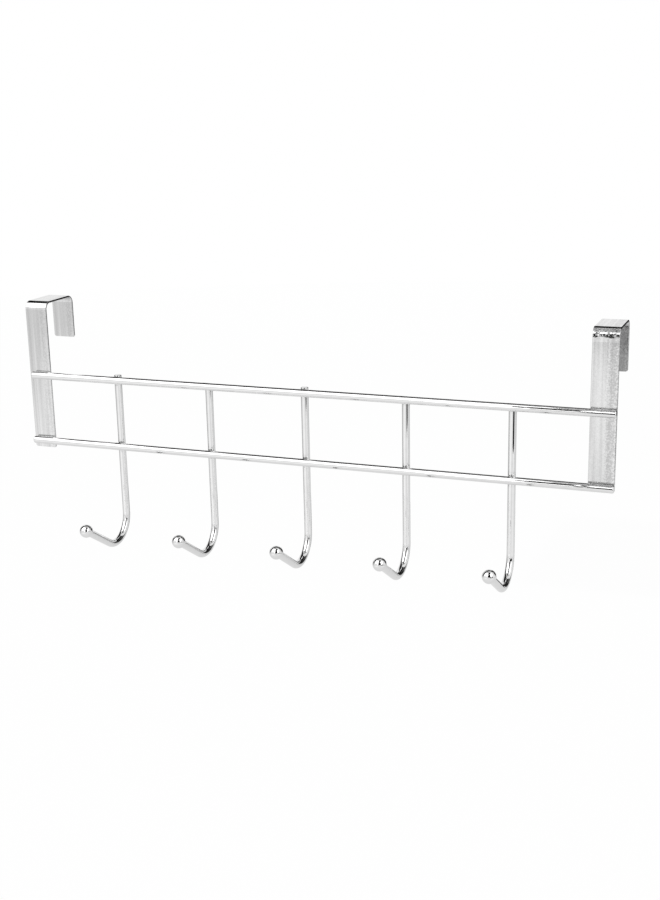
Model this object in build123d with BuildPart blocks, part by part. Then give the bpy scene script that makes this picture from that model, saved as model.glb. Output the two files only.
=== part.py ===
from build123d import *
import os
from math import sqrt

# Over-door rack of chromed steel: two folded hanger strips, two straight wire rails and a row of wire J-hooks.
# Sizes are millimetres. +X runs to the right along the rails, -Y points forward into the room and +Z is up.
# The origin is midway between the hangers, on the seat that rests on the door's top edge (Z = 0),
# in the plane where the backs of the front legs lie against the door (Y = 0).

# Rack
rack_length = 450.0  # between the outer edges of the two hangers
left_margin = 75.5  # left end of the rack to the first hook
right_margin = 70.5  # last hook to the right end of the rack
wire_diameter = 5.5  # rails and hooks are drawn from the same wire

# Hanger strips
strip_width = 18.0
strip_thickness = 1.5
fold_radius = 4.5  # inside of the two folds over the door
door_gap = 36.0  # clear depth between the two legs of a hanger
left_back_leg_drop = 32.0  # door seat to the foot of the back leg
right_back_leg_drop = 35.0
left_foot_below_rail = 6.0  # lower rail's axis to the foot of the front leg
right_foot_below_rail = 3.2  # just covered by the rail
foot_corner_radius = 1.5  # corners of both feet, in the plane of the strip
strip_edge_break = 0.25  # along every edge of the strip

# Rails
upper_rail_drop = 55.0  # door seat to the upper rail's axis
rail_spacing = 51.5  # between the axes of the two rails
upper_rail_inset = 3.5  # left end of the rail, in from the hanger's outer edge
lower_rail_inset = 1.0
rail_end_chamfer = 0.8

# Hooks
proud_nub = 0.55  # top of a shank that stands above the upper rail
tucked_nub = -2.1  # top of a shank that the upper rail hides
shank_nubs = (proud_nub, tucked_nub, proud_nub, tucked_nub, tucked_nub)  # from left to right
shank_end_chamfer = 0.5
shank_drop = 54.0  # lower rail's axis to the start of the bend
bend_radius = 18.5  # to the wire's axis
bend_angle = 122.0
leg_length = 36.5  # end of the bend to the ball's centre
ball_diameter = 9.7
neck_radius = 4.5  # hollow flare that runs the leg into the ball

# Welds: how far the heated wire settles into the piece that it crosses
strip_setdown = 0.3  # rail into the front of a hanger
wire_setdown = 0.5  # rail into the shank of a hook

# Places that follow from the sizes above
wire_radius = wire_diameter / 2
ball_radius = ball_diameter / 2
strip_centre = (rack_length - strip_width) / 2
lower_rail_drop = upper_rail_drop + rail_spacing
rail_y = strip_setdown - strip_thickness - wire_radius
shank_y = rail_y + wire_diameter - wire_setdown
bend_start = -lower_rail_drop - shank_drop
neck_reach = sqrt((ball_radius + neck_radius) ** 2 - (wire_radius + neck_radius) ** 2)
neck_share = ball_radius / (ball_radius + neck_radius)
neck_meets_ball = (-neck_share * neck_reach, neck_share * (wire_radius + neck_radius))
hook_pitch = (rack_length - left_margin - right_margin) / (len(shank_nubs) - 1)
first_hook_x = left_margin - rack_length / 2

os.makedirs("parts", exist_ok=True)

# Hanger strips: flat steel folded twice over the door, with a long front leg and a short back leg
for side, strip_x, foot_below_rail, back_leg_drop in (
    ("left", -strip_centre, left_foot_below_rail, left_back_leg_drop),
    ("right", strip_centre, right_foot_below_rail, right_back_leg_drop),
):
    with BuildPart() as hanger:
        with BuildSketch(Plane.YZ.offset(strip_x)):
            with BuildLine():
                FilletPolyline(
                    (0, -lower_rail_drop - foot_below_rail),
                    (0, 0),
                    (door_gap, 0),
                    (door_gap, -back_leg_drop),
                    radius=fold_radius,
                )
                offset(amount=strip_thickness, side=Side.LEFT)
            make_face()
        extrude(amount=strip_width / 2, both=True)
        foot_corners = hanger.edges().filter_by(Axis.Y).sort_by(Axis.Z)[:4]
        fillet(foot_corners, radius=foot_corner_radius)
        # The edges of the top plate run on round both skins of the strip
        plate_edges = hanger.edges().filter_by(Axis.Y).sort_by(SortBy.LENGTH)[-4:]
        chamfer(plate_edges, length=strip_edge_break)
    hanger.part.label = f"{side}_hanger_strip"
    export_step(hanger.part, f"parts/{side}_hanger_strip.step")

# Rails: straight wire across the fronts of both hangers, welded down on a small flat at each
for name, drop, inset in (
    ("upper_rail", upper_rail_drop, upper_rail_inset),
    ("lower_rail", lower_rail_drop, lower_rail_inset),
):
    with BuildPart() as rail:
        with BuildSketch(Plane.YZ.offset(inset - rack_length / 2)):
            with Locations((rail_y, -drop)):
                Circle(wire_radius)
        extrude(amount=rack_length - inset)
        chamfer(rail.edges().filter_by(GeomType.CIRCLE), length=rail_end_chamfer)
        with Locations((-strip_centre, -strip_thickness, -drop), (strip_centre, -strip_thickness, -drop)):
            Box(
                strip_width,
                wire_diameter,
                wire_diameter,
                align=(Align.CENTER, Align.MIN, Align.CENTER),
                mode=Mode.SUBTRACT,
            )
    rail.part.label = name
    export_step(rail.part, f"parts/{name}.step")

# Hooks: one length of wire each, with a straight shank behind both rails, a bend and a rising leg with a ball end
for index, nub in enumerate(shank_nubs):
    hook_x = first_hook_x + index * hook_pitch
    shank_top = nub + wire_radius - upper_rail_drop
    with BuildPart() as hook:
        with BuildLine(Plane.YZ.offset(hook_x)) as route:
            shank = Line((shank_y, shank_top), (shank_y, bend_start))
            bend = JernArc(start=shank @ 1, tangent=shank % 1, radius=bend_radius, arc_size=-bend_angle)
            leg = PolarLine(start=bend @ 1, length=leg_length - neck_reach, direction=bend % 1)
        ball_centre = bend @ 1 + (bend % 1) * leg_length
        with BuildSketch(Plane(origin=shank @ 0, z_dir=shank % 0)):
            Circle(wire_radius)
        sweep()
        chamfer(hook.edges().group_by(Axis.Z)[-1], length=shank_end_chamfer)
        # Ball and flared neck, turned about the leg's axis from the end of the plain wire
        with BuildSketch(Plane(origin=ball_centre, x_dir=leg % 1, z_dir=(1, 0, 0))):
            with BuildLine():
                TangentArc((-neck_reach, wire_radius), neck_meets_ball, tangent=(1, 0))
                ThreePointArc(neck_meets_ball, (0, ball_radius), (ball_radius, 0))
                Polyline((ball_radius, 0), (-neck_reach, 0), (-neck_reach, wire_radius))
            make_face()
        revolve(axis=Axis(ball_centre, leg % 1))
        # Saddles across the front of the shank, which the two rails lie in
        with Locations((hook_x, rail_y, -upper_rail_drop), (hook_x, rail_y, -lower_rail_drop)):
            Cylinder(wire_radius, 2 * wire_diameter, rotation=(0, 90, 0), mode=Mode.SUBTRACT)
    hook.part.label = f"hook_{index + 1}"
    export_step(hook.part, f"parts/hook_{index + 1}.step")
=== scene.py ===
"""Over-door rack: five chromed wire hooks on two wire rails, hung over a door by two folded steel strips.

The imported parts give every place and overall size. This file gives each part its finished surface
and stands the rack in a plain white studio.
"""

import math

import bmesh
import bpy
from bpy.props import FloatProperty, FloatVectorProperty, IntProperty, PointerProperty
from mathutils import Matrix, Vector


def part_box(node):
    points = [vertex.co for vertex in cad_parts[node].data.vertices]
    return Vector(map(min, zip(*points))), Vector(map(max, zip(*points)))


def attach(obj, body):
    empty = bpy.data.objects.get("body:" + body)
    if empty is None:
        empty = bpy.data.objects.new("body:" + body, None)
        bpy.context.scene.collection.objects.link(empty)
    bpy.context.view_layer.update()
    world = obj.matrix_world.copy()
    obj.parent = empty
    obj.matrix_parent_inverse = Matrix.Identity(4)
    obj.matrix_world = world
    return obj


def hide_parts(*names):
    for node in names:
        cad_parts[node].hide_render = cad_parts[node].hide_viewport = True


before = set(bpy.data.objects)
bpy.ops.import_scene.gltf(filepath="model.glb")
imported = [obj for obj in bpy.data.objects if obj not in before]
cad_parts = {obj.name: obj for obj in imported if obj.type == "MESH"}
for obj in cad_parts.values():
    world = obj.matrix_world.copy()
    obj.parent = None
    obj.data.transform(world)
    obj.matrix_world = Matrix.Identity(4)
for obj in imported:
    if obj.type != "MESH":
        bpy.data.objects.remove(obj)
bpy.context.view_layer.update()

bl_info = {
    "name": "Over-door wire rack",
    "version": (1, 0, 0),
    "blender": (4, 5, 0),
    "location": "View3D > Sidebar > Rack",
    "description": "Models a chromed over-door rack of wire and strip, and a plain studio to show it in",
    "category": "Object",
}

MM = 0.001
HOOKS = sorted(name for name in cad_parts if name.startswith("hook_"))
RAILS = ("upper_rail", "lower_rail")
HANGERS = ("left_hanger_strip", "right_hanger_strip")
rail_low, rail_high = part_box("upper_rail")


def middle(node):
    """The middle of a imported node's box."""
    low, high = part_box(node)
    return (low + high) / 2


FIRST_HOOK_X = middle(HOOKS[0]).x
HOOK_PITCH = middle(HOOKS[1]).x - FIRST_HOOK_X
STRIP_X = middle("right_hanger_strip").x
STRIP_HALF_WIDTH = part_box("right_hanger_strip")[1].x - STRIP_X
UPPER_RAIL_Z = middle("upper_rail").z
LOWER_RAIL_Z = middle("lower_rail").z


def linear(hex_colour):
    """An sRGB hex colour as the linear red, green and blue that shaders take."""
    parts = [int(hex_colour[i : i + 2], 16) / 255 for i in (1, 3, 5)]
    return tuple(c / 12.92 if c <= 0.04045 else ((c + 0.055) / 1.055) ** 2.4 for c in parts)


# Sizes and colours that a user would change


class RackSizes(bpy.types.PropertyGroup):
    """Sizes of the wire and strip that the outer boxes of the parts do not give."""

    wire_radius: FloatProperty(
        name="Wire radius",
        description="Half the thickness of the wire of the rails and hooks",
        default=(rail_high.z - rail_low.z) / 2,
        unit="LENGTH",
    )
    bend_radius: FloatProperty(
        name="Bend radius",
        description="Bend at the foot of each hook, to the wire's axis",
        default=18.5 * MM,
        unit="LENGTH",
    )
    bend_angle: FloatProperty(
        name="Bend angle",
        description="How far the wire turns from the shank to the rising leg",
        default=math.radians(122),
        subtype="ANGLE",
    )
    neck_radius: FloatProperty(
        name="Neck radius",
        description="Hollow flare between the leg and its ball",
        default=4.5 * MM,
        unit="LENGTH",
    )
    rail_end_round: FloatProperty(
        name="Rail end rounding",
        description="Rounded rim at the cut ends of the rails",
        default=0.9 * MM,
        unit="LENGTH",
    )
    shank_end_round: FloatProperty(
        name="Shank end rounding",
        description="Rounded rim at the cut top of each hook",
        default=0.5 * MM,
        unit="LENGTH",
    )
    strip_thickness: FloatProperty(
        name="Strip thickness",
        description="Thickness of the folded hanger strips",
        default=1.5 * MM,
        unit="LENGTH",
    )
    fold_radius: FloatProperty(
        name="Fold radius",
        description="Inside radius of the two folds over the door",
        default=4.5 * MM,
        unit="LENGTH",
    )
    left_back_leg_drop: FloatProperty(
        name="Left back leg drop",
        description="Door seat to the foot of the left hanger's back leg",
        default=32 * MM,
        unit="LENGTH",
    )
    right_back_leg_drop: FloatProperty(
        name="Right back leg drop",
        description="Door seat to the foot of the right hanger's back leg",
        default=35 * MM,
        unit="LENGTH",
    )
    foot_corner_radius: FloatProperty(
        name="Foot corner radius",
        description="Rounded corners of the hangers' feet",
        default=1.5 * MM,
        unit="LENGTH",
    )
    strip_edge_round: FloatProperty(
        name="Strip edge rounding",
        description="Rolled edges of the strip",
        default=0.45 * MM,
        unit="LENGTH",
    )
    wire_sides: IntProperty(
        name="Wire sides",
        description="Faces round the wire, a multiple of four",
        default=64,
    )


class RackColours(bpy.types.PropertyGroup):
    """Colours of the plating and of the studio."""

    wire_chrome: FloatVectorProperty(
        name="Wire chrome",
        description="Bright plating on the drawn wire",
        subtype="COLOR",
        size=3,
        default=linear("#e6e6e6"),
    )
    wire_bloom: FloatVectorProperty(
        name="Wire bloom",
        description="Faintly clouded plating on the wire",
        subtype="COLOR",
        size=3,
        default=linear("#dcdcdc"),
    )
    # Grey of a painted reflection, the dark line along the rails' tops, and of the dark specks on the shanks
    painted_line_and_specks: FloatVectorProperty(
        name="Weld stain",
        description="Dull grey that the welds leave on the wire",
        subtype="COLOR",
        size=3,
        default=linear("#707070"),
    )
    strip_chrome: FloatVectorProperty(
        name="Strip chrome",
        description="Bright lines of the plating on the rolled strip",
        subtype="COLOR",
        size=3,
        default=linear("#e9e9e9"),
    )
    strip_dull: FloatVectorProperty(
        name="Strip dull",
        description="Dull lines of the plating on the rolled strip",
        subtype="COLOR",
        size=3,
        default=linear("#c6c6c6"),
    )
    studio_white: FloatVectorProperty(
        name="Studio white",
        description="Paper on the studio floor",
        subtype="COLOR",
        size=3,
        default=linear("#f4f4f4"),
    )


class RackStudio(bpy.types.PropertyGroup):
    """Where the camera stands and where the studio floor lies."""

    camera_place: FloatVectorProperty(
        name="Camera place",
        description="The lens, from the middle of the door seat",
        subtype="XYZ",
        unit="LENGTH",
        size=3,
        default=(361.5 * MM, -870.29 * MM, 161.99 * MM),
    )
    camera_azimuth: FloatProperty(
        name="Camera azimuth",
        description="How far the camera stands round to the right of the rack's front",
        default=math.radians(21.341),
        subtype="ANGLE",
    )
    camera_elevation: FloatProperty(
        name="Camera elevation",
        description="How far the camera looks down",
        default=math.radians(15.469),
        subtype="ANGLE",
    )
    camera_roll: FloatProperty(
        name="Camera roll",
        description="How far the camera leans sideways",
        default=math.radians(-1.211),
        subtype="ANGLE",
    )
    lens: FloatProperty(
        name="Lens",
        description="Focal length in millimetres, for a 36 mm picture height",
        default=53.994,
    )
    floor_drop: FloatProperty(
        name="Floor drop",
        description="Door seat to the studio floor",
        default=420 * MM,
        unit="LENGTH",
    )
    floor_radius: FloatProperty(
        name="Floor radius",
        description="Reach of the pale floor round the rack",
        default=3.0,
        unit="LENGTH",
    )


# Materials


def add_node(tree, kind, inputs=None, stops=None, **settings):
    """Adds a node to a tree.

    Inputs are values or other nodes' outputs, stops are the places and greys of a colour ramp,
    and settings are the node's own properties.
    """
    node = tree.nodes.new(kind)
    for name, value in settings.items():
        setattr(node, name, value)
    for socket, value in (inputs or {}).items():
        if isinstance(value, bpy.types.NodeSocket):
            tree.links.new(value, node.inputs[socket])
        else:
            node.inputs[socket].default_value = value
    for index, (position, grey) in enumerate(stops or ()):
        ramp = node.color_ramp.elements
        # A new ramp already has two stops
        stop = ramp[index] if index < 2 else ramp.new(position)
        stop.position = position
        stop.color = (grey, grey, grey, 1)
    return node


def new_material(name):
    """An empty node material and its tree."""
    material = bpy.data.materials.new(name)
    material.use_nodes = True
    material.node_tree.nodes.clear()
    return material, material.node_tree


# Most of a noise pattern's values lie between these two
NOISE_LOW = 0.35
NOISE_HIGH = 0.65

# Depth of the ripple in the wire's plating
RAIL_RIPPLE = 0.07 * MM
HOOK_RIPPLE = 0.025 * MM

# Roughness added at full strength of the painted dark line on a rail and of the specks on a shank
LINE_AND_SPECK_ROUGHNESS = 0.25

# Half the length of the painted dark line where a rail lies on a shank, and how far the line fades each side
# of its edge
SHANK_LINE_HALF_LENGTH = 2.6 * MM
LINE_FADE = 0.4 * MM


def chromed_wire(colours, name, ripple_depth, painted_line_and_specks):
    """Drawn steel wire under bright nickel and chrome: a clear mirror with a slow ripple.

    A dull grey is painted on where the rails cross the strips and shanks: a painted reflection, a dark line
    along the rails' tops, and dark grey specks on the shanks close to each rail.
    """
    material, tree = new_material(name)
    place = add_node(tree, "ShaderNodeTexCoord").outputs["Object"]
    # The plating ripples over some 9 mm, which bends long reflections a little
    ripple = add_node(tree, "ShaderNodeTexNoise", {"Vector": place, "Scale": 1 / (9 * MM), "Detail": 0.0})
    # Patches of about 4 mm are faintly clouded: a shade darker and less sharp
    bloom = add_node(tree, "ShaderNodeTexNoise", {"Vector": place, "Scale": 1 / (4 * MM), "Detail": 3.0})
    plating = add_node(
        tree,
        "ShaderNodeMix",
        {0: bloom.outputs["Fac"], 6: (*colours.wire_bloom, 1), 7: (*colours.wire_chrome, 1)},
        data_type="RGBA",
    )
    # Where the dark grey goes: a painted reflection line on a rail, dark specks on a shank
    marks = painted_line_and_specks(tree, place)
    colour = add_node(
        tree,
        "ShaderNodeMix",
        {0: marks, 6: plating.outputs[2], 7: (*colours.painted_line_and_specks, 1)},
        data_type="RGBA",
    )
    haze = add_node(
        tree,
        "ShaderNodeMapRange",
        {
            "Value": bloom.outputs["Fac"],
            "From Min": NOISE_LOW,
            "From Max": NOISE_HIGH,
            "To Min": 0.08,
            "To Max": 0.03,
        },
    )
    roughness = add_node(
        tree,
        "ShaderNodeMath",
        {0: marks, 1: LINE_AND_SPECK_ROUGHNESS, 2: haze.outputs[0]},
        operation="MULTIPLY_ADD",
    )
    wave = add_node(
        tree,
        "ShaderNodeBump",
        {"Strength": 1.0, "Distance": ripple_depth, "Height": ripple.outputs["Fac"]},
    )
    shader = add_node(
        tree,
        "ShaderNodeBsdfPrincipled",
        {
            "Base Color": colour.outputs[2],
            "Metallic": 1.0,
            "Roughness": roughness.outputs[0],
            "Normal": wave.outputs[0],
        },
    )
    add_node(tree, "ShaderNodeOutputMaterial", {"Surface": shader.outputs["BSDF"]})
    return material


def rail_painted_reflection(tree, place):
    """Painted reflection: a dark line along the top of a rail, where it lies on a strip or a shank."""
    x = add_node(tree, "ShaderNodeSeparateXYZ", {0: place}).outputs["X"]
    aside = add_node(tree, "ShaderNodeMath", {0: x}, operation="ABSOLUTE")
    off_strip = add_node(tree, "ShaderNodeMath", {0: aside.outputs[0], 1: STRIP_X}, operation="SUBTRACT")
    from_strip = add_node(tree, "ShaderNodeMath", {0: off_strip.outputs[0]}, operation="ABSOLUTE")
    on_strip = add_node(
        tree,
        "ShaderNodeMapRange",
        {
            "Value": from_strip.outputs[0],
            "From Min": STRIP_HALF_WIDTH - LINE_FADE,
            "From Max": STRIP_HALF_WIDTH + LINE_FADE,
            "To Min": 1.0,
            "To Max": 0.0,
        },
    )
    off_hook = add_node(
        tree,
        "ShaderNodeMath",
        {0: x, 1: FIRST_HOOK_X - HOOK_PITCH / 2},
        operation="SUBTRACT",
    )
    share = add_node(
        tree,
        "ShaderNodeMath",
        {0: off_hook.outputs[0], 1: HOOK_PITCH},
        operation="FLOORED_MODULO",
    )
    centred = add_node(tree, "ShaderNodeMath", {0: share.outputs[0], 1: HOOK_PITCH / 2}, operation="SUBTRACT")
    from_shank = add_node(tree, "ShaderNodeMath", {0: centred.outputs[0]}, operation="ABSOLUTE")
    on_shank = add_node(
        tree,
        "ShaderNodeMapRange",
        {
            "Value": from_shank.outputs[0],
            "From Min": SHANK_LINE_HALF_LENGTH - LINE_FADE,
            "From Max": SHANK_LINE_HALF_LENGTH + LINE_FADE,
            "To Min": 1.0,
            "To Max": 0.0,
        },
    )
    behind_rail = add_node(
        tree,
        "ShaderNodeMath",
        {0: on_strip.outputs[0], 1: on_shank.outputs[0]},
        operation="MAXIMUM",
    )
    # The painted line grows from none where the surface faces 44 degrees off straight up to full at 26
    # degrees
    facing = add_node(tree, "ShaderNodeNewGeometry").outputs["Normal"]
    upward = add_node(tree, "ShaderNodeSeparateXYZ", {0: facing}).outputs["Z"]
    top = add_node(tree, "ShaderNodeMapRange", {"Value": upward, "From Min": 0.72, "From Max": 0.9})
    # The painted line is full at the left-hand strip and fades to three tenths at the right-hand one
    left_weight = add_node(
        tree,
        "ShaderNodeMapRange",
        {"Value": x, "From Min": -STRIP_X, "From Max": STRIP_X, "To Min": 1.0, "To Max": 0.3},
    )
    weighted_line = add_node(
        tree,
        "ShaderNodeMath",
        {0: behind_rail.outputs[0], 1: left_weight.outputs[0]},
        operation="MULTIPLY",
    )
    return add_node(
        tree,
        "ShaderNodeMath",
        {0: weighted_line.outputs[0], 1: top.outputs[0]},
        operation="MULTIPLY",
    ).outputs[0]


def shank_dark_specks(tree, place):
    """Dark grey specks on a shank, close above and below each rail."""
    z = add_node(tree, "ShaderNodeSeparateXYZ", {0: place}).outputs["Z"]
    gaps = []
    for rail_z in (UPPER_RAIL_Z, LOWER_RAIL_Z):
        off_rail = add_node(tree, "ShaderNodeMath", {0: z, 1: rail_z}, operation="SUBTRACT")
        gap = add_node(tree, "ShaderNodeMath", {0: off_rail.outputs[0]}, operation="ABSOLUTE")
        gaps.append(gap.outputs[0])
    nearest = add_node(tree, "ShaderNodeMath", {0: gaps[0], 1: gaps[1]}, operation="MINIMUM")
    close = add_node(
        tree,
        "ShaderNodeMapRange",
        {
            "Value": nearest.outputs[0],
            "From Min": 3.0 * MM,
            "From Max": 6.0 * MM,
            "To Min": 0.5,
            "To Max": 0.0,
        },
    )
    # The specks are about 1.4 mm across
    speck_noise = add_node(tree, "ShaderNodeTexNoise", {"Vector": place, "Scale": 1 / (1.4 * MM), "Detail": 2.0})
    specks = add_node(
        tree,
        "ShaderNodeMapRange",
        {"Value": speck_noise.outputs["Fac"], "From Min": 0.5, "From Max": 0.62},
    )
    return add_node(
        tree,
        "ShaderNodeMath",
        {0: close.outputs[0], 1: specks.outputs[0]},
        operation="MULTIPLY",
    ).outputs[0]


# Tone across a strip, as a share of its width from the left edge and the brightness there:
# painted highlights just inside both edges, a painted dark line inside the left one and painted shade on the
# right edge, with gentle lanes between
STRIP_PAINTED_LANES = (
    (0.0, 0.9),
    (0.04, 1.0),
    (0.12, 0.9),
    (0.2, 0.98),
    (0.32, 1.0),
    (0.55, 0.96),
    (0.72, 0.94),
    (0.85, 0.96),
    (0.95, 1.0),
    (1.0, 0.82),
)


def chromed_strip(colours):
    """Cold-rolled steel strip under the same plating.

    Rolling lines and a pebbled skin show through, so it is duller than the wire.
    """
    material, tree = new_material("chromed_strip")
    place = add_node(tree, "ShaderNodeTexCoord").outputs["Object"]
    axes = add_node(tree, "ShaderNodeSeparateXYZ", {0: place})
    side = add_node(tree, "ShaderNodeMath", {0: axes.outputs["X"]}, operation="SIGN")
    across = add_node(
        tree,
        "ShaderNodeMath",
        {0: side.outputs[0], 1: -STRIP_X, 2: axes.outputs["X"]},
        operation="MULTIPLY_ADD",
    )
    # Rolling lines along the strip, drawn 2 mm wide, coarser than real ones so that they show
    drawn = add_node(
        tree,
        "ShaderNodeVectorMath",
        {0: place, 1: (1 / (2 * MM), 1 / (90 * MM), 1 / (90 * MM))},
        operation="MULTIPLY",
    )
    lines = add_node(tree, "ShaderNodeTexNoise", {"Vector": drawn.outputs[0], "Scale": 1.0, "Detail": 1.0})
    # Pebbled skin under the plating, drawn 1.1 mm across for the same reason.
    # It is plainest on the right-hand strip, and on the right half of each strip.
    skin = add_node(tree, "ShaderNodeTexNoise", {"Vector": place, "Scale": 1 / (1.1 * MM), "Detail": 1.0})
    pebbled = add_node(
        tree,
        "ShaderNodeMapRange",
        {"Value": across.outputs[0], "From Min": 0.0, "From Max": 4 * MM, "To Min": 0.15, "To Max": 0.8},
    )
    worn = add_node(
        tree,
        "ShaderNodeMapRange",
        {"Value": side.outputs[0], "From Min": -1.0, "From Max": 1.0, "To Min": 0.35, "To Max": 1.0},
    )
    coarse = add_node(
        tree,
        "ShaderNodeMath",
        {0: pebbled.outputs[0], 1: worn.outputs[0]},
        operation="MULTIPLY",
    )
    pebbles = add_node(
        tree,
        "ShaderNodeMath",
        {0: skin.outputs["Fac"], 1: coarse.outputs[0]},
        operation="MULTIPLY",
    )
    # Wrinkles of about 3 mm where the strip was bent, just below the folds
    creases = add_node(tree, "ShaderNodeTexNoise", {"Vector": place, "Scale": 1 / (3 * MM), "Detail": 1.0})
    into_fold = add_node(
        tree,
        "ShaderNodeMapRange",
        {"Value": axes.outputs["Z"], "From Min": -8 * MM, "From Max": -5 * MM},
    )
    over_fold = add_node(
        tree,
        "ShaderNodeMapRange",
        {"Value": axes.outputs["Z"], "From Min": -1.5 * MM, "From Max": 0.0, "To Min": 1.0, "To Max": 0.0},
    )
    bent = add_node(
        tree,
        "ShaderNodeMath",
        {0: into_fold.outputs[0], 1: over_fold.outputs[0]},
        operation="MULTIPLY",
    )
    # The right-hand strip was bent harder, and only its folds are wrinkled
    hard = add_node(
        tree,
        "ShaderNodeMath",
        {0: bent.outputs[0], 1: side.outputs[0]},
        operation="MULTIPLY",
        use_clamp=True,
    )
    wrinkles = add_node(
        tree,
        "ShaderNodeMath",
        {0: creases.outputs["Fac"], 1: hard.outputs[0]},
        operation="MULTIPLY",
    )
    tone = add_node(
        tree,
        "ShaderNodeMapRange",
        {
            "Value": lines.outputs["Fac"],
            "From Min": NOISE_LOW,
            "From Max": NOISE_HIGH,
            "To Min": 0.3,
            "To Max": 0.75,
        },
    )
    speckle = add_node(
        tree,
        "ShaderNodeMapRange",
        {
            "Value": skin.outputs["Fac"],
            "From Min": NOISE_LOW,
            "From Max": NOISE_HIGH,
            "To Min": -0.7,
            "To Max": 0.7,
        },
    )
    # A dull lane 5 mm right of the middle, on the right-hand strip only
    off_lane = add_node(tree, "ShaderNodeMath", {0: across.outputs[0], 1: 5 * MM}, operation="SUBTRACT")
    from_lane = add_node(tree, "ShaderNodeMath", {0: off_lane.outputs[0]}, operation="ABSOLUTE")
    in_lane = add_node(
        tree,
        "ShaderNodeMapRange",
        {
            "Value": from_lane.outputs[0],
            "From Min": 0.6 * MM,
            "From Max": 2.2 * MM,
            "To Min": -0.6,
            "To Max": 0.0,
        },
    )
    on_right = add_node(tree, "ShaderNodeMath", {0: side.outputs[0], 1: 0.0}, operation="MAXIMUM")
    laned = add_node(
        tree,
        "ShaderNodeMath",
        {0: in_lane.outputs[0], 1: on_right.outputs[0], 2: tone.outputs[0]},
        operation="MULTIPLY_ADD",
    )
    shade = add_node(
        tree,
        "ShaderNodeMath",
        {0: speckle.outputs[0], 1: coarse.outputs[0], 2: laned.outputs[0]},
        operation="MULTIPLY_ADD",
        use_clamp=True,
    )
    rolled = add_node(
        tree,
        "ShaderNodeMix",
        {0: shade.outputs[0], 6: (*colours.strip_dull, 1), 7: (*colours.strip_chrome, 1)},
        data_type="RGBA",
    )
    over_width = add_node(
        tree,
        "ShaderNodeMapRange",
        {"Value": across.outputs[0], "From Min": -STRIP_HALF_WIDTH, "From Max": STRIP_HALF_WIDTH},
    )
    # Painted highlight and shade lanes across the strip
    painted_lanes = add_node(tree, "ShaderNodeValToRGB", {"Fac": over_width.outputs[0]}, stops=STRIP_PAINTED_LANES)
    colour = add_node(
        tree,
        "ShaderNodeMix",
        {0: 1.0, 6: rolled.outputs[2], 7: painted_lanes.outputs["Color"]},
        data_type="RGBA",
        blend_type="MULTIPLY",
    )
    roughness = add_node(
        tree,
        "ShaderNodeMapRange",
        {"Value": lines.outputs["Fac"], "From Min": 0.3, "From Max": 0.7, "To Min": 0.16, "To Max": 0.07},
    )
    # Each layer of relief, and its depth
    reliefs = (
        (lines.outputs["Fac"], 0.004 * MM),
        (pebbles.outputs[0], 0.013 * MM),
        (wrinkles.outputs[0], 0.2 * MM),
    )
    normal = None
    for height, depth in reliefs:
        inputs = {"Strength": 1.0, "Distance": depth, "Height": height}
        if normal:
            inputs["Normal"] = normal
        normal = add_node(tree, "ShaderNodeBump", inputs).outputs[0]
    shader = add_node(
        tree,
        "ShaderNodeBsdfPrincipled",
        {
            "Base Color": colour.outputs[2],
            "Metallic": 1.0,
            "Roughness": roughness.outputs[0],
            "Normal": normal,
        },
    )
    add_node(tree, "ShaderNodeOutputMaterial", {"Surface": shader.outputs["BSDF"]})
    return material


# Pieces


# Faces along each curve
BEND_STEPS = 56
NECK_STEPS = 10
BALL_STEPS = 30
FOLD_STEPS = 16
FOOT_CORNER_STEPS = 5
RAIL_RIM_STEPS = 6
SHANK_RIM_STEPS = 3
STRIP_EDGE_STEPS = 3

# Points nearer together than this are one point
MERGE_DISTANCE = 0.005 * MM

# An edge of a rail's rim runs along the rail by less than this
RIM_DEPTH = 0.01 * MM

# The strip's cut edges turn by more than this, and the faces of its folds by less
CUT_EDGE_ANGLE = math.radians(60)

# Large faces set the shading of the small rounded ones beside them
FACE_AREA_WEIGHT = 100

ACROSS = Vector((1, 0, 0))


def ring_edges(geometry):
    """The edges among what an operator made."""
    return [part for part in geometry if isinstance(part, bmesh.types.BMEdge)]


def ring_verts(geometry):
    """The vertices among what an operator made."""
    return [part for part in geometry if isinstance(part, bmesh.types.BMVert)]


def verts_of(edges):
    """The vertices of some edges, each once."""
    return list(dict.fromkeys(vert for edge in edges for vert in edge.verts))


def draw_out(bm, edges, travel):
    """Extrudes a chain of edges by a vector, and returns the edges at the far end."""
    made = bmesh.ops.extrude_edge_only(bm, edges=edges)["geom"]
    bmesh.ops.translate(bm, verts=ring_verts(made), vec=travel)
    return ring_edges(made)


def turn(bm, geometry, centre, axis, angle, steps):
    """Spins geometry about an axis, and returns what is at the far end."""
    return bmesh.ops.spin(bm, geom=geometry, cent=centre, axis=axis, angle=angle, steps=steps)["geom_last"]


def round_rims(bm, edges, offset, segments):
    """Rounds the given edges."""
    bmesh.ops.bevel(
        bm,
        geom=edges,
        offset=offset,
        segments=segments,
        profile=0.5,
        affect="EDGES",
        material=-1,
    )


def finish_piece(bm, name, material, node):
    """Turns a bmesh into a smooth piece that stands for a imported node."""
    bmesh.ops.recalc_face_normals(bm, faces=bm.faces)
    mesh = bpy.data.meshes.new(name)
    bm.to_mesh(mesh)
    bm.free()
    mesh.shade_smooth()
    mesh.materials.append(material)
    piece = bpy.data.objects.new(name, mesh)
    bpy.context.scene.collection.objects.link(piece)
    weighted = piece.modifiers.new("flat faces stay flat", "WEIGHTED_NORMAL")
    weighted.weight = FACE_AREA_WEIGHT
    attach(piece, "root")
    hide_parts(node)


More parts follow.
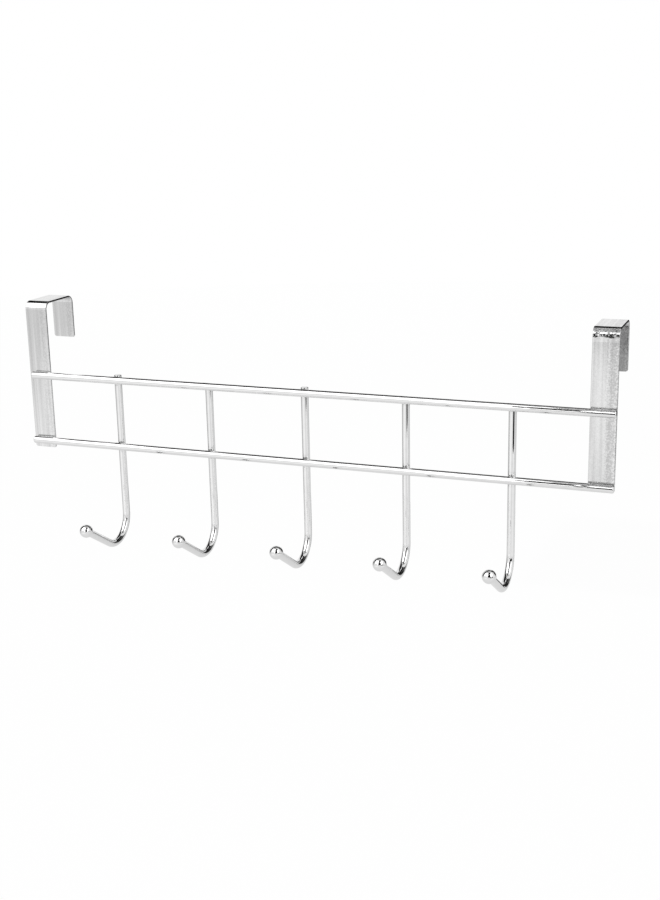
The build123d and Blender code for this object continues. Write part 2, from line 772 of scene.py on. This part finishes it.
def lay_hook(bm, low, high, sizes):
    """One J of wire: cut end, shank, bend, rising leg, flared neck and ball."""
    radius = sizes.wire_radius
    bend_radius = sizes.bend_radius
    angle = sizes.bend_angle
    ball_radius = (high.x - low.x) / 2
    x = (low.x + high.x) / 2
    shank_y = high.y - radius
    bend_centre = Vector((x, shank_y - bend_radius, low.z + radius + bend_radius))
    bend_end = bend_centre + bend_radius * Vector((0, math.cos(angle), -math.sin(angle)))
    along_leg = Vector((0, -math.sin(angle), -math.cos(angle)))
    leg_length = (bend_end.y - low.y - ball_radius) / math.sin(angle)
    ball_centre = bend_end + leg_length * along_leg
    reach = math.sqrt((ball_radius + sizes.neck_radius) ** 2 - (radius + sizes.neck_radius) ** 2)

    bmesh.ops.create_circle(
        bm,
        cap_ends=True,
        segments=sizes.wire_sides,
        radius=radius,
        matrix=Matrix.Translation((x, shank_y, high.z)),
    )
    cut_rim = list(bm.edges)
    rim = draw_out(bm, cut_rim, Vector((0, 0, bend_centre.z - high.z)))
    rim = ring_edges(turn(bm, verts_of(rim) + rim, bend_centre, ACROSS, -angle, BEND_STEPS))
    draw_out(bm, rim, (leg_length - reach) * along_leg)

    # The neck and ball are one outline, turned about the leg
    outward = along_leg.cross(ACROSS)
    neck_foot = ball_centre - reach * along_leg
    neck_centre = neck_foot + (radius + sizes.neck_radius) * outward
    neck_turn = math.atan2(reach, radius + sizes.neck_radius)
    start = bm.verts.new(neck_foot + radius * outward)
    before = set(bm.edges)
    top = ring_verts(turn(bm, [start], neck_centre, ACROSS, -neck_turn, NECK_STEPS))
    turn(bm, top, ball_centre, ACROSS, math.pi / 2 + neck_turn, BALL_STEPS)
    outline = [edge for edge in bm.edges if edge not in before]
    bmesh.ops.spin(
        bm,
        geom=verts_of(outline) + outline,
        cent=ball_centre,
        axis=along_leg,
        angle=2 * math.pi,
        steps=sizes.wire_sides,
        use_merge=True,
    )
    bmesh.ops.remove_doubles(bm, verts=bm.verts, dist=MERGE_DISTANCE)
    cut_rim = [edge for edge in cut_rim if edge.is_valid]
    round_rims(bm, cut_rim, sizes.shank_end_round, SHANK_RIM_STEPS)


def lay_rail(bm, low, high, sizes):
    """One straight length of wire with rounded ends."""
    centre = (low + high) / 2
    axis_place = Matrix.Translation((centre.x, low.y + sizes.wire_radius, centre.z))
    bmesh.ops.create_cone(
        bm,
        cap_ends=True,
        segments=sizes.wire_sides,
        radius1=sizes.wire_radius,
        radius2=sizes.wire_radius,
        depth=high.x - low.x,
        matrix=axis_place @ Matrix.Rotation(math.pi / 2, 4, "Y"),
    )
    rims = [edge for edge in bm.edges if abs(edge.verts[0].co.x - edge.verts[1].co.x) < RIM_DEPTH]
    round_rims(bm, rims, sizes.rail_end_round, RAIL_RIM_STEPS)


def fold_back(bm, end, centre):
    """Folds a strip on from its end edge through a right angle, and returns its new end."""
    return ring_edges(turn(bm, verts_of(end) + end, centre, ACROSS, -math.pi / 2, FOLD_STEPS))


def lay_hanger(bm, low, high, sizes, back_leg_drop):
    """A flat strip folded over the door: long front leg, seat and short back leg."""
    thickness = sizes.strip_thickness
    fold = sizes.fold_radius
    door_front = low.y + thickness
    door_back = high.y - thickness
    seat = high.z - thickness
    foot = [bm.verts.new((x, door_front, low.z)) for x in (low.x, high.x)]
    end = [bm.edges.new(foot)]
    end = draw_out(bm, end, Vector((0, 0, seat - fold - low.z)))
    end = fold_back(bm, end, Vector((low.x, door_front + fold, seat - fold)))
    end = draw_out(bm, end, Vector((0, door_back - door_front - 2 * fold, 0)))
    end = fold_back(bm, end, Vector((low.x, door_back - fold, seat - fold)))
    end = draw_out(bm, end, Vector((0, 0, fold - back_leg_drop)))
    bmesh.ops.bevel(
        bm,
        geom=foot + verts_of(end),
        offset=sizes.foot_corner_radius,
        segments=FOOT_CORNER_STEPS,
        profile=0.5,
        affect="VERTICES",
        material=-1,
    )
    bmesh.ops.recalc_face_normals(bm, faces=bm.faces)
    bmesh.ops.solidify(bm, geom=bm.faces, thickness=-thickness)
    cut_edges = [edge for edge in bm.edges if edge.calc_face_angle(0) > CUT_EDGE_ANGLE]
    round_rims(bm, cut_edges, sizes.strip_edge_round, STRIP_EDGE_STEPS)


class RACK_OT_add_hooks(bpy.types.Operator):
    """Models the wire hooks"""

    bl_idname = "rack.add_hooks"
    bl_label = "Add hooks"

    def execute(self, context):
        finish = chromed_wire(context.scene.rack_colours, "chromed_hook_wire", HOOK_RIPPLE, shank_dark_specks)
        for node in HOOKS:
            bm = bmesh.new()
            lay_hook(bm, *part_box(node), context.scene.rack_sizes)
            finish_piece(bm, f"{node}_wire", finish, node)
        return {"FINISHED"}


class RACK_OT_add_rails(bpy.types.Operator):
    """Models the two rails"""

    bl_idname = "rack.add_rails"
    bl_label = "Add rails"

    def execute(self, context):
        finish = chromed_wire(context.scene.rack_colours, "chromed_rail_wire", RAIL_RIPPLE, rail_painted_reflection)
        for node in RAILS:
            bm = bmesh.new()
            lay_rail(bm, *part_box(node), context.scene.rack_sizes)
            finish_piece(bm, f"{node}_wire", finish, node)
        return {"FINISHED"}


class RACK_OT_add_hangers(bpy.types.Operator):
    """Models the two folded hanger strips"""

    bl_idname = "rack.add_hangers"
    bl_label = "Add hangers"

    def execute(self, context):
        sizes = context.scene.rack_sizes
        finish = chromed_strip(context.scene.rack_colours)
        for node, back_leg_drop in zip(HANGERS, (sizes.left_back_leg_drop, sizes.right_back_leg_drop)):
            bm = bmesh.new()
            lay_hanger(bm, *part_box(node), sizes, back_leg_drop)
            finish_piece(bm, f"{node}_folded", finish, node)
        return {"FINISHED"}


# Studio


# Painted reflection: brightness that the floor glows with to the metal only, by degrees round the rack from
# its front.
# To the right is positive.
FLOOR_PAINTED_LANES = (
    (-180, 1.1),
    (-150, 0.75),
    (-106, 0.75),
    (-75, 1.02),
    (-50, 1.15),
    (-28, 1.22),
    (-5, 1.08),
    (14, 0.95),
    (26, 0.9),
    (40, 0.97),
    (57, 1.08),
    (75, 1.05),
    (100, 0.98),
    (133, 1.05),
    (155, 0.9),
    (180, 1.1),
)


# Middle of the lit panels, across and along the floor
PANELS_XY = (0.3, -0.9)

# Share of the floor's white that is even. The lamps give the rest, which keeps the rack's shadow.
FLOOR_GLOW = 0.985

FLOOR_SIDES = 96

# Strength of the white room as light on the floor and cards
ROOM_LIGHT = 0.8

CARD_SHADES = {
    "black": "#2c2c2c",
    "dark": "#404040",
    "mid": "#6a6a6a",
    "grey": "#c8c8c8",
    "pale": "#ececec",
}

# Cards that the metal shows: name, width, height and place of the middle in metres,
# degrees that it leans from lying flat, degrees that it is turned round, and shade
STUDIO_CARDS = (
    ("camera_flag", 0.835, 0.5, (0.4525, -0.95, 0.2), 90, 0, "black"),
    ("rail_flag", 0.105, 0.87, (-0.0375, -0.855, 0.585), 52, 0, "black"),
    ("side_flag", 0.2, 0.115, (0.05, -0.95, -0.1075), 90, 0, "black"),
    ("upper_flag", 0.74, 0.7, (0.5, -0.95, 0.8), 90, 0, "black"),
    ("boom", 0.62, 0.97, (0.37, -0.465, 1.15), 0, 0, "dark"),
    ("boom_scrim", 0.14, 0.97, (-0.01, -0.465, 1.15), 0, 0, "pale"),
    ("top_scrim", 1.05, 0.6, (-0.475, 0.0, 1.5), 0, 0, "grey"),
    ("backdrop", 4.4, 1.51, (-0.25, 1.09, 1.123), -39.2, 19, "black"),
    ("floor_mat", 0.248, 0.27, (0.144, 0.735, -0.41), 0, 0, "black"),
    ("low_flag", 0.25, 0.058, (0.366, -0.212, -0.141), 90, 45, "black"),
    ("back_flag", 0.75, 0.635, (0.525, 1.1, -0.0175), 90, 0, "black"),
)

# The wings are two cards that stand along the camera's line of sight, one each side of it:
# their width and height, and how far aside, beyond the rack and up they are, in metres
WING_SIZE = (1.7, 1.9)
WING_ASIDE = 1.6
WING_BEYOND = 1.15
WING_UP = 0.7

# Soft lamps: name, width, height and place in metres
SOFTBOXES = (
    ("left_softbox", 2.55, 2.07, (-1.725, -0.782, 1.324)),
    ("right_softbox", 3.05, 2.9, (1.075, -1.1, 1.05)),
)
SOFTBOX_TILT = math.radians(40.8)
SOFTBOX_RADIANCE = 1.27

# Height of the picture behind the lens, in millimetres
PICTURE_HEIGHT = 36


def ramp_place(degrees):
    """A place on a colour ramp that runs once round, from half a turn one way to half a turn the other."""
    return (degrees + 180) / 360


def pale_floor(colours, floor_drop):
    """Matt white paper: plain white to the lens, and to the metal a glow painted with light and shade in
    lanes, a painted reflection.
    """
    material, tree = new_material("white_paper_floor")
    rays = add_node(tree, "ShaderNodeLightPath")
    place = add_node(tree, "ShaderNodeTexCoord").outputs["Object"]
    axes = add_node(tree, "ShaderNodeSeparateXYZ", {0: place})
    front = add_node(tree, "ShaderNodeMath", {0: axes.outputs["Y"], 1: -1.0}, operation="MULTIPLY")
    around = add_node(
        tree,
        "ShaderNodeMath",
        {0: axes.outputs["X"], 1: front.outputs[0]},
        operation="ARCTAN2",
    )
    turned = add_node(
        tree,
        "ShaderNodeMapRange",
        {"Value": around.outputs[0], "From Min": -math.pi, "From Max": math.pi},
    )
    painted_lanes = add_node(
        tree,
        "ShaderNodeValToRGB",
        {"Fac": turned.outputs[0]},
        stops=[(ramp_place(degrees), grey) for degrees, grey in FLOOR_PAINTED_LANES],
    )
    # Away from the lit panels the painted lanes fade to two thirds
    from_panels = add_node(
        tree,
        "ShaderNodeVectorMath",
        {0: place, 1: (*PANELS_XY, -floor_drop)},
        operation="DISTANCE",
    )
    fade = add_node(
        tree,
        "ShaderNodeMapRange",
        {
            "Value": from_panels.outputs["Value"],
            "From Min": 0.9,
            "From Max": 2.3,
            "To Min": 1.0,
            "To Max": 0.67,
        },
    )
    far = add_node(
        tree,
        "ShaderNodeMath",
        {0: painted_lanes.outputs["Color"], 1: fade.outputs[0]},
        operation="MULTIPLY",
    )
    # Close under the rack there are no lanes, and painted shade makes the floor darker behind it than in
    # front
    near = add_node(
        tree,
        "ShaderNodeMapRange",
        {"Value": axes.outputs["Y"], "From Min": -0.5, "From Max": 0.4, "To Min": 0.98, "To Max": 0.82},
    )
    from_rack = add_node(
        tree,
        "ShaderNodeVectorMath",
        {0: place, 1: (0, 0, -floor_drop)},
        operation="DISTANCE",
    )
    # The painted lanes take over between 0.45 m and 0.9 m from the rack
    beyond = add_node(
        tree,
        "ShaderNodeMapRange",
        {"Value": from_rack.outputs["Value"], "From Min": 0.45, "From Max": 0.9},
    )
    # Painted light and shade that the floor glows with to glossy rays
    lit = add_node(
        tree,
        "ShaderNodeMix",
        {"Factor": beyond.outputs[0], "A": near.outputs[0], "B": far.outputs[0]},
    )
    direct = add_node(
        tree,
        "ShaderNodeMath",
        {0: rays.outputs["Is Camera Ray"], 1: rays.outputs["Is Transmission Ray"]},
        operation="MAXIMUM",
    )
    brightness = add_node(
        tree,
        "ShaderNodeMix",
        {"Factor": direct.outputs[0], "A": lit.outputs[0], "B": 1.0},
    )
    seen = add_node(
        tree,
        "ShaderNodeMath",
        {0: direct.outputs[0], 1: rays.outputs["Is Glossy Ray"]},
        operation="MAXIMUM",
    )
    share = add_node(tree, "ShaderNodeMath", {0: seen.outputs[0], 1: FLOOR_GLOW}, operation="MULTIPLY")
    paper = add_node(tree, "ShaderNodeBsdfDiffuse", {"Color": (*colours.studio_white, 1)})
    glow = add_node(tree, "ShaderNodeEmission", {"Color": (1, 1, 1, 1), "Strength": brightness.outputs[0]})
    mix = add_node(
        tree,
        "ShaderNodeMixShader",
        {0: share.outputs[0], 1: paper.outputs[0], 2: glow.outputs[0]},
    )
    add_node(tree, "ShaderNodeOutputMaterial", {"Surface": mix.outputs[0]})
    return material


def matt_card(name, hex_colour):
    """Matt card, which gives the metal its dark and pale lines."""
    material, tree = new_material(name)
    paint = add_node(tree, "ShaderNodeBsdfDiffuse", {"Color": (*linear(hex_colour), 1)})
    add_node(tree, "ShaderNodeOutputMaterial", {"Surface": paint.outputs[0]})
    return material


def studio_world():
    """Plain white all round to the lens and to the metal, and a soft white light on the floor and cards."""
    world = bpy.data.worlds.new("studio")
    world.use_nodes = True
    tree = world.node_tree
    tree.nodes.clear()
    rays = add_node(tree, "ShaderNodeLightPath")
    direct = add_node(
        tree,
        "ShaderNodeMath",
        {0: rays.outputs["Is Camera Ray"], 1: rays.outputs["Is Transmission Ray"]},
        operation="MAXIMUM",
    )
    seen = add_node(
        tree,
        "ShaderNodeMath",
        {0: direct.outputs[0], 1: rays.outputs["Is Glossy Ray"]},
        operation="MAXIMUM",
    )
    room_light = add_node(tree, "ShaderNodeBackground", {"Color": (1, 1, 1, 1), "Strength": ROOM_LIGHT})
    plain_white = add_node(tree, "ShaderNodeBackground", {"Color": (1, 1, 1, 1), "Strength": 1.0})
    sky = add_node(
        tree,
        "ShaderNodeMixShader",
        {0: seen.outputs[0], 1: room_light.outputs[0], 2: plain_white.outputs[0]},
    )
    add_node(tree, "ShaderNodeOutputWorld", {"Surface": sky.outputs[0]})
    return world


def hang_softbox(scene, name, width, height, place, tilt, radiance):
    """A soft lamp as bright all over as a white sheet, times its radiance."""
    lamp_data = bpy.data.lights.new(name, "AREA")
    lamp_data.shape = "RECTANGLE"
    lamp_data.size = width
    lamp_data.size_y = height
    lamp_data.energy = radiance * math.pi * width * height
    lamp = bpy.data.objects.new(name, lamp_data)
    lamp.matrix_world = Matrix.Translation(place) @ Matrix.Rotation(tilt, 4, "X")
    lamp.visible_camera = False
    scene.collection.objects.link(lamp)


def stand_card(scene, name, width, height, place, tilt, turn_round, material):
    """A flat card, seen by the metal but not by the lens."""
    bm = bmesh.new()
    bmesh.ops.create_grid(
        bm,
        x_segments=1,
        y_segments=1,
        size=0.5,
        matrix=(
            Matrix.Translation(place)
            @ Matrix.Rotation(turn_round, 4, "Z")
            @ Matrix.Rotation(tilt, 4, "X")
            @ Matrix.Diagonal((width, height, 1, 1))
        ),
    )
    mesh = bpy.data.meshes.new(name)
    bm.to_mesh(mesh)
    bm.free()
    mesh.materials.append(material)
    card = bpy.data.objects.new(name, mesh)
    card.visible_camera = False
    scene.collection.objects.link(card)


class RACK_OT_add_studio(bpy.types.Operator):
    """Sets up the floor, the light and the camera"""

    bl_idname = "rack.add_studio"
    bl_label = "Add studio"

    def execute(self, context):
        scene = context.scene
        studio = scene.rack_studio
        scene.view_settings.view_transform = "Standard"
        scene.world = studio_world()

        bm = bmesh.new()
        bmesh.ops.create_circle(
            bm,
            cap_ends=True,
            segments=FLOOR_SIDES,
            radius=studio.floor_radius,
            matrix=Matrix.Translation((0, 0, -studio.floor_drop)),
        )
        mesh = bpy.data.meshes.new("studio_floor")
        bm.to_mesh(mesh)
        bm.free()
        mesh.materials.append(pale_floor(scene.rack_colours, studio.floor_drop))
        floor = bpy.data.objects.new("studio_floor", mesh)
        scene.collection.objects.link(floor)

        cards = {}
        for shade, hex_colour in CARD_SHADES.items():
            cards[shade] = matt_card(f"matt_{shade}_card", hex_colour)
        for name, width, height, place, lean, turned, shade in STUDIO_CARDS:
            stand_card(
                scene,
                name,
                width,
                height,
                place,
                math.radians(lean),
                math.radians(turned),
                cards[shade],
            )
        aim = Matrix.Rotation(studio.camera_azimuth, 4, "Z")
        for name, side in (("wing_left", -1), ("wing_right", 1)):
            stand_card(
                scene,
                name,
                *WING_SIZE,
                aim @ Vector((side * WING_ASIDE, WING_BEYOND, WING_UP)),
                math.pi / 2,
                studio.camera_azimuth + math.pi / 2,
                cards["mid"],
            )
        for name, width, height, place in SOFTBOXES:
            hang_softbox(scene, name, width, height, place, SOFTBOX_TILT, SOFTBOX_RADIANCE)

        camera_data = bpy.data.cameras.new("camera")
        camera_data.lens = studio.lens
        camera_data.sensor_width = PICTURE_HEIGHT
        camera = bpy.data.objects.new("camera", camera_data)
        camera.matrix_world = (
            Matrix.Translation(studio.camera_place)
            @ Matrix.Rotation(studio.camera_azimuth, 4, "Z")
            @ Matrix.Rotation(math.pi / 2 - studio.camera_elevation, 4, "X")
            @ Matrix.Rotation(studio.camera_roll, 4, "Z")
        )
        scene.collection.objects.link(camera)
        scene.camera = camera
        return {"FINISHED"}


class RACK_PT_sidebar(bpy.types.Panel):
    """Lists the steps that build the rack"""

    bl_idname = "RACK_PT_sidebar"
    bl_label = "Over-door rack"
    bl_space_type = "VIEW_3D"
    bl_region_type = "UI"
    bl_category = "Rack"

    def draw(self, context):
        for step in STEPS:
            self.layout.operator(step.bl_idname)
        for group in (context.scene.rack_sizes, context.scene.rack_colours, context.scene.rack_studio):
            # The first two properties are Blender's own
            for name in group.bl_rna.properties.keys()[2:]:
                self.layout.prop(group, name)


STEPS = (RACK_OT_add_hangers, RACK_OT_add_rails, RACK_OT_add_hooks, RACK_OT_add_studio)
CLASSES = (RackSizes, RackColours, RackStudio, *STEPS, RACK_PT_sidebar)


def register():
    for item in CLASSES:
        bpy.utils.register_class(item)
    bpy.types.Scene.rack_sizes = PointerProperty(type=RackSizes)
    bpy.types.Scene.rack_colours = PointerProperty(type=RackColours)
    bpy.types.Scene.rack_studio = PointerProperty(type=RackStudio)


def unregister():
    del bpy.types.Scene.rack_studio
    del bpy.types.Scene.rack_colours
    del bpy.types.Scene.rack_sizes
    for item in reversed(CLASSES):
        bpy.utils.unregister_class(item)


def main():
    register()
    bpy.ops.rack.add_hangers()
    bpy.ops.rack.add_rails()
    bpy.ops.rack.add_hooks()
    bpy.ops.rack.add_studio()


if __name__ == "__main__":
    main()
